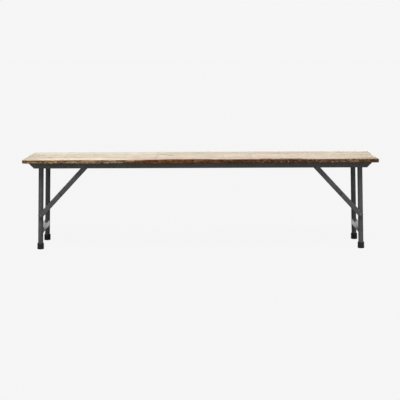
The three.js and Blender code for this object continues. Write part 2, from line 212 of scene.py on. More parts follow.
def prismAlongY(outline, lowY, highY):
    count = len(outline)
    faces = [tuple(range(count)), tuple(reversed(range(count, 2 * count)))]
    faces += [(k, k + count, (k + 1) % count + count, (k + 1) % count) for k in range(count)]
    return facedOut(meshFrom([(x, y, z) for y in (lowY, highY) for x, z in outline], faces))


def drilled(mesh, centres, radius, reach):  # round holes along Y, at (x, z) places
    for x, z in centres:
        outline = [(x + u, z + v) for u, v in circle(radius * mm, 48)]
        mesh = cutBy(mesh, prismAlongY(outline, -reach, reach))
    return mesh


def marked(mesh, **attributes):  # the mesh, with a value or a vector at each point
    for name, values in attributes.items():
        vectors = isinstance(values[0], tuple)
        attribute = mesh.attributes.new(name, "FLOAT_VECTOR" if vectors else "FLOAT", "POINT")
        flat = [part for value in values for part in value] if vectors else values
        attribute.data.foreach_set("vector" if vectors else "value", flat)
    return mesh


def joined(meshes):
    bm = bmesh.new()
    for mesh in meshes:
        bm.from_mesh(mesh)
    return fromBmesh(bm)


def addPiece(name, mesh, body, material, replaced=()):
    mesh.name = name
    mesh.materials.clear()
    mesh.materials.append(material)
    mesh.shade_smooth()
    mesh.set_sharp_from_angle(angle=math.radians(35))
    piece = bpy.data.objects.new(name, mesh)
    scene.collection.objects.link(piece)
    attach(piece, body)
    if replaced:
        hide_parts(*replaced)


# Camera, at the photograph's place
camera = {
    "focal": 73.98, "sensor": 36.0, "place": (0, -3.774, 0.966),
    "pitch": 11.33, "yaw": 0.042, "roll": -0.217,  # degrees
}


def makeCamera():
    data = bpy.data.cameras.new("camera")
    data.lens = camera["focal"]
    data.sensor_width = camera["sensor"]
    shot = bpy.data.objects.new("camera", data)
    scene.collection.objects.link(shot)
    shot.matrix_world = (
        Matrix.Translation(camera["place"])
        @ Matrix.Rotation(math.radians(camera["yaw"]), 4, "Z")
        @ Matrix.Rotation(math.radians(90 - camera["pitch"]), 4, "X")
        @ Matrix.Rotation(math.radians(camera["roll"]), 4, "Z")
    )
    scene.camera = shot


# Pale studio: an even seamless floor, a soft key from above and in front, and wide overhead light
studio = {
    "paper": "#f6f6f6", "floorSize": 60.0, "floorGlow": 0.985,
    "floorTone": "#141414", "bounceTone": "#707070", "mirrorTone": "#c8c8c8",
    "zenith": 0.36, "horizon": 0.04, "mirrored": 0.85,
    "key": {"towards": (-0.05, -0.33, 0.94), "power": 3.0, "softness": 12},  # degrees
    "fill": {"towards": (0.0, -1.0, 0.05), "power": 1.3, "softness": 60},
}


def makeStudio():
    scene.view_settings.view_transform = "Standard"
    scene.view_settings.look = "None"
    half = studio["floorSize"] / 2
    paperCorners = [(-half, -half, 0), (half, -half, 0), (half, half, 0), (-half, half, 0)]
    floorMesh = meshFrom(paperCorners, [(0, 1, 2, 3)])
    floor = bpy.data.objects.new("floor", floorMesh)
    scene.collection.objects.link(floor)
    # the camera sees an even glow; other rays see a grey floor, paler where it is mirrored
    paper, add = newMaterial("seamlessPaper")
    dressed(paper, Roughness=1.0, Specular_IOR_Level=0.0, Base_Color=linear(studio["floorTone"]),
            Emission_Color=linear(studio["paper"]), Emission_Strength=studio["floorGlow"])
    nodes = paper.node_tree.nodes
    ray = add("LightPath").outputs
    tone = add("Mix", ray["Is Glossy Ray"], linear(studio["bounceTone"]), linear(studio["mirrorTone"]),
               **tint)
    seen = add("MixShader", ray["Is Camera Ray"], add("BsdfDiffuse", tone), nodes["Principled BSDF"])
    fill(paper.node_tree, nodes["Material Output"].inputs["Surface"], seen)
    floorMesh.materials.append(paper)

    world = bpy.data.worlds.new("studio")
    world.use_nodes = True
    add = partial(addNode, world.node_tree)
    height = add("SeparateXYZ", add("TexCoord").outputs["Generated"]).outputs[2]
    glow = add("MapRange", height, 0.0, 1.0, studio["horizon"], studio["zenith"])
    ray = add("LightPath").outputs
    shiny = add("Mix", ray["Is Glossy Ray"], glow, studio["mirrored"])
    sky = world.node_tree.nodes["Background"].inputs
    fill(world.node_tree, sky["Color"], linear(studio["paper"]))
    fill(world.node_tree, sky["Strength"], add("Mix", ray["Is Camera Ray"], shiny, 1.0))
    scene.world = world

    for name in ("key", "fill"):
        look = studio[name]
        data = bpy.data.lights.new(name, "SUN")
        data.energy = look["power"]
        data.angle = math.radians(look["softness"])
        lamp = bpy.data.objects.new(name, data)
        lamp.rotation_mode = "QUATERNION"
        lamp.rotation_quaternion = Vector(look["towards"]).to_track_quat("Z", "Y")
        scene.collection.objects.link(lamp)


makeCamera()
makeStudio()
print("camera and studio made")

# Reclaimed softwood, sawn, worn and washed pale on top: soft grey and pink streaks over the grain,
# while the raw sawn edges stay brown
woods = {
    "front_board": {
        "pith": (0.4, -0.11, 0.33), "ring": 4.2, "seed": 1.7, "wash": ("#cdbdac", "#cdc9b3", "#d7bdb3"),
        # where the wash is worn off along the front edge: share of the length, depth in millimetres
        "worn": [(0.0, 0.0), (0.27, 0.0), (0.34, 6.0), (0.39, 10.0), (0.44, 22.0), (0.5, 21.0), (0.57, 14.0),
                 (0.66, 17.0), (0.72, 27.0), (0.78, 25.0), (0.83, 10.0), (0.89, 12.0), (0.94, 13.0),
                 (1.0, 20.0)],
        # pale or dark places: shares of the length, millimetres from the front, colour and strength
        # the first place, pale at the left front, is partly paler wash and partly a painted highlight along
        # the front arris
        "places": [(0.05, 0.29, -5, 60, "#e6d6c3", 0.85), (0.0, 0.04, 0, 90, "#c6b8a7", 0.4),
                   (0.93, 1.0, 0, 90, "#b9ab99", 0.5), (0.97, 1.1, -20, 45, "#b98a6c", 0.45)],
    },
    "middle_board": {
        "pith": (-0.3, 0.02, 0.35), "ring": 3.6, "seed": 5.1, "wash": ("#ccbcab", "#ccc8b6", "#d7bfb6"),
        "places": [(0.07, 0.5, 85, 175, "#d9cebd", 0.45), (0.55, 0.86, 85, 175, "#dac5b9", 0.6)],
    },
    "back_board": {
        "pith": (0.1, 0.12, 0.36), "ring": 3.9, "seed": 9.4, "wash": ("#cbc1b0", "#ccccb9", "#d1c0b4"),
        "places": [(0.0, 0.38, 170, 270, "#dbd6ca", 0.6), (0.66, 0.86, 170, 270, "#beae9e", 0.5)],
    },
}
woodLook = {
    "roughness": 0.78, "specular": 0.12, "relief": 0.45,  # millimetres
    # rings are longer along the board by this factor, and wander by millimetres
    "ringStretch": 0.03, "ringWander": 9.0, "knotBulge": 7.0, "knotPitch": 330.0, "knotSize": 13.0,
    # noise patterns: millimetres across and along the board, detail and roughness
    "clouds": {
        "fibres": (1.1, 70, 4.0, 0.7), "streaks": (7, 260, 4.0, 0.6), "grime": (90, 600, 4.0, 0.6),
        "patches": (38, 420, 2.0, 0.55), "otherPatches": (26.6, 252, 2.0, 0.55),
        "wander": (60, 500, 2.0, 0.55), "waver": (14, 60, 2.0, 0.55), "cracks": (26, 700, 1.0, 0.4),
        "blotch": (26, 42, 4.0, 0.6), "lumps": (8, 22, 4.0, 0.7), "crumbs": (6, 12, 3.0, 0.7),
        "specks": (13, 9, 2.0, 0.55), "ticks": (4, 12, 1.0, 0.55), "flecks": (3.5, 9, 1.0, 0.55),
    },
    "wornDepth": 30.0, "wornRipple": 22.0, "ripple": (12, 60),  # millimetres
    "stray": 0.1, "strayIn": 40.0,  # how far the places' borders wander: share of the length, millimetres
    # pattern, its low and high limits (None: as it is), strength and colour
    "washLayers": [
        ("streaks", 0.5, 0.75, 0.6, "#b39f88"), ("fibres", 0.52, 0.78, 0.7, "#9c876e"),
        ("lateWood", None, None, 0.36, "#b0987c"), ("grime", 0.56, 0.8, 0.5, "#b4a794"),
        ("knot", None, None, 0.75, "#6f5138"),
    ],
    "bareLayers": [
        ("streaks", 0.42, 0.7, 0.34, "#4a2c17"), ("fibres", 0.5, 0.8, 0.6, "#3a2415"),
        ("patches", 0.55, 0.75, 0.35, "#a5835c"), ("lateWood", None, None, 0.35, "#4b2f1b"),
    ],
    "rawTone": "#84705a",
    "rawLayers": [
        ("patches", 0.35, 0.65, 1.0, "#75624d"), ("streaks", 0.45, 0.75, 0.5, "#5d4a37"),
        ("fibres", 0.5, 0.8, 0.7, "#4c3b2b"), ("lateWood", None, None, 0.35, "#5a4531"),
        ("knot", None, None, 0.7, "#3b2a1c"),
    ],
    # the darkest stops at both ends colour the end grain, and are painted shade at the end corners as well
    "edgeTones": [  # share of the length and colour, along the bare front edge
        (0.0, "#5c4029"), (0.012, "#91704d"), (0.3, "#aa8e6c"), (0.313, "#6b431f"), (0.44, "#70441f"),
        (0.6, "#5b391f"), (0.78, "#5a3824"), (0.86, "#765940"), (0.965, "#6a4c32"), (0.995, "#3f2a1e"),
    ],
    "edgeLean": 5.2, "edgeWaver": 0.05,  # shares by which those tones lean per metre of height, and waver
    # the rubbed tone paints the top arrises pale: partly rubbed wear, partly a painted highlight on the
    # rounded edges
    "speck": "#94785f", "rubbed": "#eadbc8", "stain": "#4a3a2e", "crack": "#4d3b2b",
    "tick": "#2b1a0e", "fleck": "#c3a07a",
}


def grainScale(across, along):  # a texture's scale on a board, which runs along X
    return perMetre(along), perMetre(across), perMetre(across)


def makeWood(name, wood):
    material, add = newMaterial(name + "Wood")
    low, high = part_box(name)
    place = add("TexCoord").outputs["Object"]
    seeded = add("VectorMath", place, (wood["seed"], wood["seed"] * 0.37, 0))
    patterns = {}
    for key, (across, along, detail, roughness) in woodLook["clouds"].items():
        stretched = add("VectorMath", seeded, grainScale(across, along), **times)
        patterns[key] = add("TexNoise", stretched, 1.0, detail, roughness)

    def covered(colour, layers):  # by the patterns of those names
        return layered(add, colour, [(patterns[key], *layer) for key, *layer in layers], **smooth)

    def shaded(colour, shades):  # darker or lighter with a pattern
        for pattern, start, stop, dark, light in shades:
            value = add("MapRange", pattern, start, stop, dark, light, **smooth)
            colour = add("HueSaturation", Value=value, Color=colour)
        return colour

    # Knots, as thin cells along the board; half of the cells have one
    pitch = woodLook["knotPitch"]
    knotScale = (perMetre(pitch), perMetre(pitch / 3.2), 0)
    knotPlace = add("VectorMath", seeded, knotScale, **times)
    cell = add("TexVoronoi", knotPlace, Scale=1.0, Randomness=1.0).outputs
    kept = add("MapRange", add("SeparateColor", cell["Color"]), 0.5, 0.52, **smooth)
    knotSize = woodLook["knotSize"] / pitch
    discs = [add("MapRange", cell["Distance"], knotSize * far, knotSize * full, **smooth)
             for far, full in ((1.5, 0.6), (8, 0))]
    knot, bulge = (add("Math", disc, kept, **times) for disc in discs)

    # Growth rings about a pith that lies beside the board
    fromPith = add("VectorMath", place, wood["pith"], operation="SUBTRACT")
    squeezed = add("VectorMath", fromPith, (woodLook["ringStretch"], 1, 1), **times)
    wander = woodLook["ringWander"] * mm
    wandered = add("Math", patterns["wander"], 2 * wander, -wander, **timesPlus)
    radius = add("Math", add("VectorMath", squeezed, operation="LENGTH"), wandered)
    ringed = add("Math", bulge, woodLook["knotBulge"] * mm, radius, **timesPlus)
    turns = add("Math", ringed, wood["ring"] * mm, operation="DIVIDE")
    rings = add("Math", turns, 1.0, operation="PINGPONG")
    patterns.update(knot=knot, lateWood=add("MapRange", rings, 0.45, 1.0, **smooth))

    # The pale wash on top
    tan, green, pink = wood["wash"]
    tints = [("patches", 0.38, 0.62, 1.0, green), ("otherPatches", 0.5, 0.68, 1.0, pink)]
    wash = covered(linear(tan), tints + woodLook["washLayers"])
    x, y, z = add("SeparateXYZ", place).outputs
    share = add("MapRange", x, cadBox[0].x, cadBox[1].x)
    # a pattern runs about 0.5, so each border is moved by half of its stray
    stray, strayIn = woodLook["stray"], woodLook["strayIn"]
    strayed = add("Math", patterns["streaks"], stray, share, **timesPlus)
    fromFront = add("Math", y, cadBox[0].y, operation="SUBTRACT")
    strayedIn = add("Math", patterns["grime"], strayIn * mm, fromFront, **timesPlus)
    for start, stop, near, far, tone, strength in wood["places"]:
        sides = (  # what is measured, where the border is, and how soft it is
            (strayed, start + stray / 2, 0.02), (strayed, stop + stray / 2, -0.03),
            (strayedIn, (near + strayIn / 2) * mm, 8 * mm), (strayedIn, (far + strayIn / 2) * mm, -15 * mm),
        )
        amount = strength
        for along, edge, soft in sides:
            within = add("MapRange", along, edge - soft, edge + soft, **smooth)
            amount = add("Math", within, amount, **times)
        wash = add("Mix", amount, wash, linear(tone), **tint)
    wash = shaded(wash, [(patterns["blotch"], 0.3, 0.7, 0.9, 1.13)])
    nearFront = add("MapRange", fromFront, 55 * mm, 5 * mm, 0.0, 0.6, **smooth)
    speck = add("Math", add("MapRange", patterns["specks"], 0.58, 0.66, **smooth), nearFront, **times)
    wash = add("Mix", speck, wash, linear(woodLook["speck"]), **tint)

    # Bare wood at the edges: tan at the left, then orange and dark red browns
    lean, waver = woodLook["edgeLean"], woodLook["edgeWaver"]
    leant = add("Math", z, -lean, share, **timesPlus)
    wavered = add("Math", patterns["waver"], waver, lean * (low.z + high.z) / 2 - waver / 2, **timesPlus)
    bare = add("ValToRGB", add("Math", leant, wavered))
    stops = bare.color_ramp.elements
    while len(stops) < len(woodLook["edgeTones"]):
        stops.new(0.5)
    for element, (position, tone) in zip(stops, woodLook["edgeTones"]):
        element.position = position
        element.color = linear(tone)
    bare = shaded(covered(bare, woodLook["bareLayers"]), [
        (patterns["lumps"], 0.3, 0.7, 0.34, 1.62), (patterns["crumbs"], 0.3, 0.7, 0.4, 1.6),
        (z, high.z - 3.5 * mm, low.z + 1.5 * mm, 0.96, 1.13),
    ])
    bare = covered(bare, [("ticks", 0.6, 0.66, 0.75, woodLook["tick"])])
    fleck = add("Math", add("MapRange", patterns["flecks"], 0.36, 0.31, **smooth),
                add("MapRange", share, 0.6, 0.85, 0.35, 0.9, **smooth), **times)
    bare = add("Mix", fleck, bare, linear(woodLook["fleck"]), **tint)
    # the undersides are rough sawn and greyed, neither washed nor rubbed
    under = add("MapRange", z, low.z + 1.2 * mm, low.z + 0.4 * mm, **smooth)
    raw = covered(linear(woodLook["rawTone"]), woodLook["rawLayers"])
    bare = add("Mix", under, bare, raw, **tint)

    washed, rubbed, stained = (
        add("Attribute", attribute_name=key).outputs["Fac"] for key in ("washed", "rubbed", "stained")
    )
    if "worn" in wood:  # the wash is rubbed off a strip behind the front edge, wider in the middle
        width = add("FloatCurve", Value=share)
        points = width.mapping.curves[0].points
        for index, (position, depth) in enumerate(wood["worn"]):
            if index < 2:
                points[index].location = (position, depth / woodLook["wornDepth"])
            else:
                points.new(position, depth / woodLook["wornDepth"])
        width.mapping.update()
        depth = add("Math", width, woodLook["wornDepth"] * mm, **times)
        rippled = woodLook["wornRipple"] * mm
        stretched = add("VectorMath", seeded, grainScale(*woodLook["ripple"]), **times)
        behind = add("Math", add("TexNoise", stretched, 1.0, 3.0, 0.55), rippled, fromFront, **timesPlus)
        past = add("Math", behind, depth, operation="SUBTRACT")
        onFace = add("Math", add("MapRange", past, rippled / 2 + 3 * mm, rippled / 2 - 2 * mm, **smooth),
                     add("MapRange", depth, 0.0, 4 * mm, **smooth), **times)
        washed = add("Math", washed, add("Math", onFace, -0.8, 1.0, **timesPlus), **times)
    ragged = add("Math", patterns["fibres"], 0.5, washed, **timesPlus)
    colour = add("Mix", add("MapRange", ragged, 0.65, 0.85, **smooth), bare, wash, **tint)
    # paler along the top arrises: partly rubbed wear, partly a painted highlight on the rounded edges
    rub = add("Math", rubbed, add("MapRange", patterns["streaks"], 0.35, 0.6, 0.35, 1.0, **smooth), **times)
    # drying cracks are thin dark lines that follow the grain
    offMiddle = add("Math", patterns["cracks"], 0.5, operation="SUBTRACT")
    line = add("MapRange", add("Math", offMiddle, operation="ABSOLUTE"), 0.006, 0.002, **smooth)
    crack = add("Math", line, add("MapRange", patterns["otherPatches"], 0.52, 0.6, **smooth), **times)
    colour = layered(add, colour, [
        (add("Math", rub, washed, **times), None, None, 1.0, woodLook["rubbed"]),
        (stained, None, None, 0.7, woodLook["stain"]), (crack, None, None, 0.8, woodLook["crack"]),
    ])

    grain = add("Math", patterns["lateWood"], 0.3, **times)
    grain = add("Math", patterns["fibres"], -0.5, grain, **timesPlus)
    relief = add("Math", crack, -0.8, grain, **timesPlus)
    bump = add("Bump", Height=relief, Strength=0.6, Distance=woodLook["relief"] * mm)
    return dressed(material, Base_Color=colour, Roughness=woodLook["roughness"], IOR=1.45,
                   Specular_IOR_Level=woodLook["specular"], Normal=bump)


# Angle rails, bars and legs: mild steel under brushed dark grey enamel, satin, with fine dust and scuffs
paint = {
    # the rails' coat is greener than the legs' and darker: the tint is their own, the darkening is painted
    # shade under the boards' overhang
    "coat": "#505050", "railTintAndShadeCoat": "#494b46", "worn": "#6b6b69", "dust": "#737270", "steel": "#8c8a85",
    "roughness": 0.5, "specular": 0.22, "edgeWear": 1.4, "wearPatch": 16.0, "mottle": 45.0,
    "scuff": 6.0, "scuffLength": 40.0, "orangePeel": 2.2, "peelDepth": 0.12,  # millimetres
}


def makePaint(name, coat):
    material, add = newMaterial(name)
    place = add("TexCoord").outputs["Object"]
    mottle = add("TexNoise", place, perMetre(paint["mottle"]), 3.0)
    long, fine = perMetre(paint["scuffLength"]), perMetre(paint["scuff"])
    scuffPlace = add("VectorMath", place, (long, fine, long * 3), **times)
    scuff = add("TexNoise", scuffPlace, 1.0, 5.0, 0.65)
    colour = layered(add, linear(coat), [
        (mottle, 0.45, 0.75, 0.3, paint["dust"]), (scuff, 0.6, 0.78, 0.6, paint["worn"]),
    ])
    # rubbed through to grey steel in places along the edges
    rounded = add("Bevel", Radius=paint["edgeWear"] * mm, samples=4)
    flatness = add("VectorMath", rounded, add("NewGeometry").outputs["Normal"], operation="DOT_PRODUCT")
    rubs = add("TexNoise", place, perMetre(paint["wearPatch"]), 4.0, 0.7)
    wear = add("Math", add("MapRange", flatness, 0.97, 0.8), add("MapRange", rubs, 0.52, 0.62, 0.0, 0.8),
               **times)
    colour = add("Mix", wear, colour, linear(paint["steel"]), **tint)
    sheen = add("MapRange", mottle, 0.3, 0.7, paint["roughness"] - 0.06, paint["roughness"] + 0.08)
    peel = add("TexNoise", place, perMetre(paint["orangePeel"]), 2.0)
    bump = add("Bump", Height=peel, Strength=0.35, Distance=paint["peelDepth"] * mm)
    return dressed(material, Base_Color=colour, Metallic=0.0, Roughness=sheen, IOR=1.5,
                   Specular_IOR_Level=paint["specular"], Normal=bump)


# The stretchers: drawn steel tube left bright, pale grey with fine lengthwise draw lines, darker beside
# the legs with weld scorch and painted shade where the tube meets each leg. Every metal's grain and bump are
# in millimetres.
plainSteel = {
    "tones": ("#b4b3b0", "#aaa9a6"), "roughness": 0.3, "grain": (0.8, 160.0, 0.8), "bump": 0.015,
    "scorchAndShade": "#55514c", "scorchAndShadeFrom": 78.0, "scorchAndShadeTo": 85.0, "scorchAndShadeCloud": 6.0, "scorchAndShadeFray": 10.0,
}
# Rivets and bushes: oiled black steel, headed by a hammer
rivetSteel = {"tones": ("#454441", "#666460"), "roughness": 0.42, "grain": (2.6,) * 3, "bump": 0.15}
# Wood screws: pressed steel, zinc plated, slightly dull
screwSteel = {"tones": ("#b2b0a8", "#8a867c"), "roughness": 0.36, "grain": (1.8,) * 3, "bump": 0.05}
# Weld beads: bright rippled steel
weldSteel = {"tones": ("#8d8c89", "#62605c"), "roughness": 0.45, "grain": (1.4,) * 3, "bump": 0.1}
# Feet: moulded black rubber, matt, with a faint bloom
rubber = {
    "colour": "#1f1f20", "bloom": "#303031", "bloomPatch": 14.0, "roughness": 0.72, "specular": 0.22,
    "grit": 1.6, "gritDepth": 0.1, "rim": "#070707", "rimHeight": 6.0,  # darker near the floor
}


def makeMetal(name, look):
    material, add = newMaterial(name)
    place = add("TexCoord").outputs["Object"]
    scale = [perMetre(size) for size in look["grain"]]
    grain = add("TexNoise", add("VectorMath", place, scale, **times), 1.0, 4.0)
    colour = add("Mix", grain, *(linear(tone) for tone in look["tones"]), **tint)
    # darker where the tube meets each leg: weld scorch, with painted shade in that corner
    if "scorchAndShade" in look:
        outwards = add("Math", add("SeparateXYZ", place).outputs[1], operation="ABSOLUTE")
        cloudy = add("TexNoise", place, perMetre(look["scorchAndShadeCloud"]), 3.0)
        frayed = add("Math", cloudy, look["scorchAndShadeFray"] * mm, outwards, **timesPlus)
        limits = look["scorchAndShadeFrom"] * mm, look["scorchAndShadeTo"] * mm
        colour = layered(add, colour, [(frayed, *limits, 0.8, look["scorchAndShade"])])
    bump = add("Bump", Height=grain, Strength=0.4, Distance=look["bump"] * mm)
    return dressed(material, Base_Color=colour, Metallic=1.0, Roughness=look["roughness"], Normal=bump)


def makeRubber(name):
    material, add = newMaterial(name)
    place = add("TexCoord").outputs["Object"]
    height = add("SeparateXYZ", place).outputs[2]
    colour = layered(add, linear(rubber["colour"]), [
        (add("TexNoise", place, perMetre(rubber["bloomPatch"]), 4.0), 0.42, 0.72, 0.8, rubber["bloom"]),
        (height, (rubber["rimHeight"] + 1) * mm, rubber["rimHeight"] * mm, 1.0, rubber["rim"]),
    ])
    grit = add("TexNoise", place, perMetre(rubber["grit"]), 3.0)
    bump = add("Bump", Height=grit, Strength=0.3, Distance=rubber["gritDepth"] * mm)
    return dressed(material, Base_Color=colour, Roughness=rubber["roughness"], IOR=1.52,
                   Specular_IOR_Level=rubber["specular"], Normal=bump)


enamel = makePaint("brushedEnamelSteel", paint["coat"])
# the rails' enamel, and their rivets': own greener tint, darkened as painted shade under the boards'
# overhang
railTintAndShadeEnamel = makePaint("rolledAngleEnamelTintAndShade", paint["railTintAndShadeCoat"])
tubeSteel = makeMetal("drawnSteelTube", plainSteel)
headedSteel = makeMetal("hammeredRivetSteel", rivetSteel)
zincSteel = makeMetal("zincPlatedScrewSteel", screwSteel)
beadSteel = makeMetal("weldBeadSteel", weldSteel)
footRubber = makeRubber("mouldedRubber")
boardWoods = {name: makeWood(name, wood) for name, wood in woods.items()}
print("materials made")

# Seat boards
boards = {
    "leftSkew": 8.0, "wander": 0.8, "wanderPitch": 330.0, "dip": 0.35, "dipPitch": 120.0,  # millimetres
    "roundTop": 1.7, "roundBottom": 1.3, "rub": 1.6, "rubPitch": 90.0, "rubbedAndHighlitPatch": 60.0,
    "chipDepth": 4.2, "chipLength": 26.0, "chipPitch": 190.0, "endRound": 1.4, "station": 5.0,
    "chipFrom": 0.36, "chipSharp": 8,  # the noise at which a chip starts, and how fast it deepens
    "endGrain": 0.012,  # how far the bare end lies inside the outline, as a share
    "steps": (16, 5, 8, 5), "arcSteps": 5,  # across the top, back, bottom and front; round an edge
    "nailPairs": (-0.62, -0.2, 0.23, 0.66),  # metres along the seat
    "nailInset": 16.0, "nailHole": 1.5, "nailDepth": 5.0, "nailStray": 2.0, "nailStain": 8.0,
    "stainStretch": 1.6,  # along the grain
    "splitLength": 85.0, "splitLeast": 25.0, "splitWidth": 1.5, "splitBend": 2.5,
}


def noiseAt(x, seed, pitch):  # smooth noise along the board, from 0 to 1
    return 0.5 + 0.5 * noise.noise(Vector((x / (pitch * mm), seed, 0.0)))


def chipAt(x, seed, lane):  # 0, or up to 1 where the arris is knocked off; odd factors part the seeds
    raw = noiseAt(x, seed * 3.1 + lane * 7.7, boards["chipPitch"])
    fine = noiseAt(x, seed * 5.3 + lane * 3.3, boards["chipLength"])
    return max(0.0, min(1.0, (raw * fine - boards["chipFrom"]) * boards["chipSharp"]))


def boardSection(x, seed, front, back, floor, crown):  # points, each with its wash and its pale arris mark (rubbed wear and painted highlight)
    arcs = []
    for lane, (side, level) in enumerate(((front, crown), (back, crown), (back, floor), (front, floor))):
        base = boards["roundTop"] if level == crown else boards["roundBottom"]
        rub = boards["rub"] * noiseAt(x, seed * 2 + lane * 11, boards["rubPitch"])
        radius = (base + rub + boards["chipDepth"] * chipAt(x, seed, lane)) * mm
        y = side + radius if side == front else side - radius
        z = level - radius if level == crown else level + radius
        arcs.append(arc(y, z, radius, 180 - 90 * lane, 90 - 90 * lane, boards["arcSteps"]))
    points = []
    for lane, rounded in enumerate(arcs):
        following = arcs[(lane + 1) % 4]
        for k, (y, z) in enumerate(rounded):
            turn = k / boards["arcSteps"]
            up = (turn, 1 - turn, 0.0, 0.0)[lane]
            points.append((y, z, max(0.0, up * 2 - 1), 1.0 if lane < 2 else 0.4))
        for k in range(1, boards["steps"][lane]):
            t = k / boards["steps"][lane]
            y, z = (one + (other - one) * t for one, other in zip(rounded[-1], following[0]))
            nearEdge = max(0.0, 1 - 9 * min(t, 1 - t))
            points.append((y, z, 1.0, nearEdge) if lane == 0 else (y, z, 0.0, 0.0))
    return points


def makeBoard(name, seed):
    low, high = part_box(name)
    length = high.x - low.x
    middleZ = (low.z + high.z) / 2
    slope = boards["leftSkew"] * mm / (cadBox[1].y - cadBox[0].y)
    endRound, wander = boards["endRound"] * mm, boards["wander"] * mm
    steps = round(length / (boards["station"] * mm))
    tips = [share * endRound / length for share in (0.0, 0.15, 0.4, 0.7, 1.0)]
    inner = [tips[-1] + (1 - 2 * tips[-1]) * k / steps for k in range(1, steps)]
    rings = []
    for share in tips + inner + [1 - tip for tip in reversed(tips)]:
        x = low.x + share * length
        fromEnd = min(1.0, min(share, 1 - share) * length / endRound)
        inset = endRound * (1 - math.sqrt(1 - (1 - fromEnd) ** 2))
        front = low.y + inset + wander * noiseAt(x, seed, boards["wanderPitch"])
        back = high.y - inset - wander * noiseAt(x, seed + 40, boards["wanderPitch"])
        patchy = 0.6 + 0.4 * noiseAt(x, seed * 7, boards["rubbedAndHighlitPatch"])
        ring = []
        for y, z, pale, rub in boardSection(x, seed, front, back, low.z + inset, high.z - inset):
            left = low.x + slope * (y - low.y)
            along = left + share * (high.x - left)
            if z > middleZ:
                z -= boards["dip"] * mm * noiseAt(along + y * 3, seed + y * 60, boards["dipPitch"])
            ring.append((Vector((along, y, z)), pale, rub * patchy))
        rings.append(ring)
    # bare end grain, just inside the outline of each end
    for index, outline in ((0, rings[0]), (len(rings) + 1, rings[-1])):
        middle = sum((point for point, *_ in outline), Vector()) / len(outline)
        rings.insert(index, [(point.lerp(middle, boards["endGrain"]), 0.0, 0.0) for point, *_ in outline])

    inset = boards["nailInset"] * mm
    nails = [(x, y) for x in boards["nailPairs"] for y in (low.y + inset, high.y - inset)]
    points, washed, rubbed = zip(*(entry for ring in rings for entry in ring))
    stained = []
    for point in points:
        near = min(math.hypot(point.x - x, (point.y - y) * boards["stainStretch"]) for x, y in nails)
        stained.append(max(0.0, 1 - near / (boards["nailStain"] * mm)) if point.z > middleZ else 0.0)
    mesh = ringsMesh([[point for point, *_ in ring] for ring in rings])
    mesh = facedOut(marked(mesh, washed=washed, rubbed=rubbed, stained=stained))
    mesh = cutBy(mesh, boardCutters(low, high, nails, seed))
    addPiece(name + "_worn", mesh, "frame", boardWoods[name], [name])


def boardCutters(low, high, nails, seed):  # old nail holes in the top, and drying splits at both ends
    outlines = []
    for k, (x, y) in enumerate(nails):
        x += boards["nailStray"] * mm * math.sin(k * seed)
        hole = [(x + u, y + v) for u, v in circle(boards["nailHole"] * mm, 14)]
        outlines.append((hole, high.z - boards["nailDepth"] * mm))
    half = boards["splitWidth"] * mm / 2
    for end, x in ((-1, low.x), (1, high.x)):
        for k in range(2):
            y = low.y + (high.y - low.y) * (0.3 + 0.4 * k + 0.18 * math.sin(seed * 4 + k + end))
            length = boards["splitLength"] * (0.55 + 0.45 * math.sin(seed * 9 + 2 * k - end))
            tip = x - end * max(length, boards["splitLeast"]) * mm
            bend = boards["splitBend"] * mm * math.sin(seed + k)
            out = x + end * 3 * mm
            outlines.append(([(out, y - half), (out, y + half), (tip, y + bend)], low.z - mm))
    return joined([
        facedOut(ringsMesh([[(x, y, z) for x, y in outline] for z in (bottom, high.z + mm)]))
        for outline, bottom in outlines
    ])


for boardName, wood in woods.items():
    makeBoard(boardName, wood["seed"])
print("boards made")

# Rails, cross bars and stretchers: the solids' own shapes with their edges broken
steelwork = {"railEdge": 0.6, "barEdge": 0.5, "stretcherEdge": 0.35}  # millimetres
barNames = ("left_cross_bar", "centre_cross_bar", "right_cross_bar")


def softened(node, width):
    bm = bmesh.new()
    bm.from_mesh(frame["nodes"][node].data)
    bmesh.ops.remove_doubles(bm, verts=bm.verts, dist=0.002 * mm)
    bmesh.ops.dissolve_limit(bm, angle_limit=math.radians(1), verts=bm.verts, edges=bm.edges)
    bmesh.ops.recalc_face_normals(bm, faces=bm.faces)
    return beveled(fromBmesh(bm), width)


steelPieces = [(row + "_rail", steelwork["railEdge"], railTintAndShadeEnamel) for row in rows]
steelPieces += [(bar, steelwork["barEdge"], enamel) for bar in barNames]
for node, edge, finish in steelPieces:
    addPiece(node + "_painted", softened(node, edge), "frame", finish, [node])
print("rails and cross bars made")

# Legs: round tubes with rounded tops, drilled for their rivets
legs = {
    "splay": 2.8,  # degrees
    "wall": 1.6, "lip": 0.4, "hole": 4.25, "sole": 5.3, "sides": 72,  # millimetres
}
pivots = {joint["child"]: Vector(joint["pos_m"]) for joint in frame["joints"]}


def hungFrom(body, angle):  # from axes of its own, at the body's pivot, to the part's
    turn = Matrix.Rotation(math.pi if body.startswith("left") else 0.0, 4, "Z")
    pivot = Matrix.Translation((abs(pivots[body].x), 0, pivots[body].z))
    return turn @ pivot @ Matrix.Rotation(angle, 4, "Y")


def legMatrix(end):
    return hungFrom(end + "_leg_frame", -math.radians(legs["splay"]))


def legMeasures(end, row):  # radius, distance from the bench's middle, and drop to the floor
    low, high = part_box(f"{end}_{row}_leg")
    drop = pivots[end + "_leg_frame"].z / math.cos(math.radians(legs["splay"]))
    return (high.y - low.y) / 2, abs(high.y + low.y) / 2, drop


def flatDistance(one, other):  # seen from the front
    return math.hypot(one.x - other.x, one.z - other.z)


